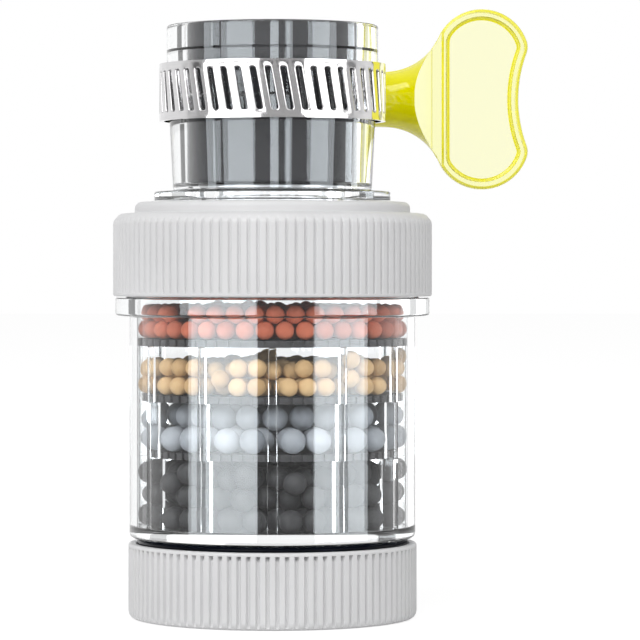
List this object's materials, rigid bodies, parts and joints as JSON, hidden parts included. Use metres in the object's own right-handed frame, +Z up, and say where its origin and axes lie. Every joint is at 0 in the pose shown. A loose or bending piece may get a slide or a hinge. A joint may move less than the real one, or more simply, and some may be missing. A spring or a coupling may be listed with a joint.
{
  "type": "faucet mount water filter",
  "caption": "Clear filter cartridge with layered bead beds between ribbed screw caps, and a clear collar with rubber sleeve and worm clamp that grips a spout.",
  "frame": {"origin": "centre of the lower cap's flat base", "axes": "+Z up along the cartridge's axis to the inlet, +X towards the thumb key, -Y towards the viewer in the picture"},
  "size_m": [0.0566, 0.0448, 0.0823],
  "materials": {
    "cap_plastic": "fine satin moulded plastic, light warm grey",
    "clear_plastic": "clear polished plastic",
    "yellow_plastic": "clear lemon-yellow polished plastic",
    "dark_plastic": "matt charcoal moulded plastic",
    "ring_plastic": "plain white plastic",
    "red_bead": "matt terracotta clay",
    "tan_bead": "matt sand-coloured mineral",
    "white_bead": "satin pale grey-white ceramic",
    "black_bead": "matt charcoal grey carbon",
    "felt": "white fibre pad",
    "seal_rubber": "smooth black rubber",
    "sleeve_rubber": "smooth charcoal rubber",
    "screen_steel": "stainless mesh",
    "band_steel": "polished stainless strip",
    "screw_steel": "turned steel"
  },
  "bodies": {
    "cartridge": {"housing": "clear_plastic", "black_beads": "black_bead", "lower_strainer": "dark_plastic", "white_beads": "white_bead", "middle_strainer": "dark_plastic", "tan_beads": "tan_bead", "upper_strainer": "dark_plastic", "red_beads": "red_bead", "top_strainer": "dark_plastic", "housing_gasket": "seal_rubber"},
    "cap_seal": {"cap_o_ring": "seal_rubber", "outlet_pad": "felt"},
    "outlet_cap": {"lower_cap": "cap_plastic"},
    "inlet": {"collar": "clear_plastic", "retaining_ring": "ring_plastic", "neck_o_ring": "seal_rubber", "inlet_screen": "screen_steel", "rubber_sleeve": "sleeve_rubber", "clamp_band": "band_steel", "worm_housing": "band_steel"},
    "nut": {"ring_nut": "cap_plastic"},
    "worm": {"worm_screw": "screw_steel", "thumb_key": "yellow_plastic"}
  },
  "joints": [
    {"name": "cap_travel", "type": "slide", "parent": "cartridge", "child": "cap_seal", "axis": [0, 0, -1], "range_m": [0, 0.00526]},
    {"name": "cap_turn", "type": "hinge", "parent": "cap_seal", "child": "outlet_cap", "pos_m": [0, 0, 0.005], "axis": [0, 0, -1], "range_deg": [0, 630]},
    {"name": "inlet_travel", "type": "slide", "parent": "cartridge", "child": "inlet", "axis": [0, 0, 1], "range_m": [0, 0.00526]},
    {"name": "nut_turn", "type": "hinge", "parent": "inlet", "child": "nut", "pos_m": [0, 0, 0.048], "axis": [0, 0, 1], "range_deg": [0, 630]},
    {"name": "worm_turn", "type": "hinge", "parent": "inlet", "child": "worm", "pos_m": [0, 0.01867, 0.06985], "axis": [1, 0, 0], "range_deg": [-90, 3330]}
  ],
  "couplings": [
    {"joint": "cap_travel", "follows": "cap_turn", "m_per_rad": 0.00047746},
    {"joint": "inlet_travel", "follows": "nut_turn", "m_per_rad": 0.00047746}
  ]
}
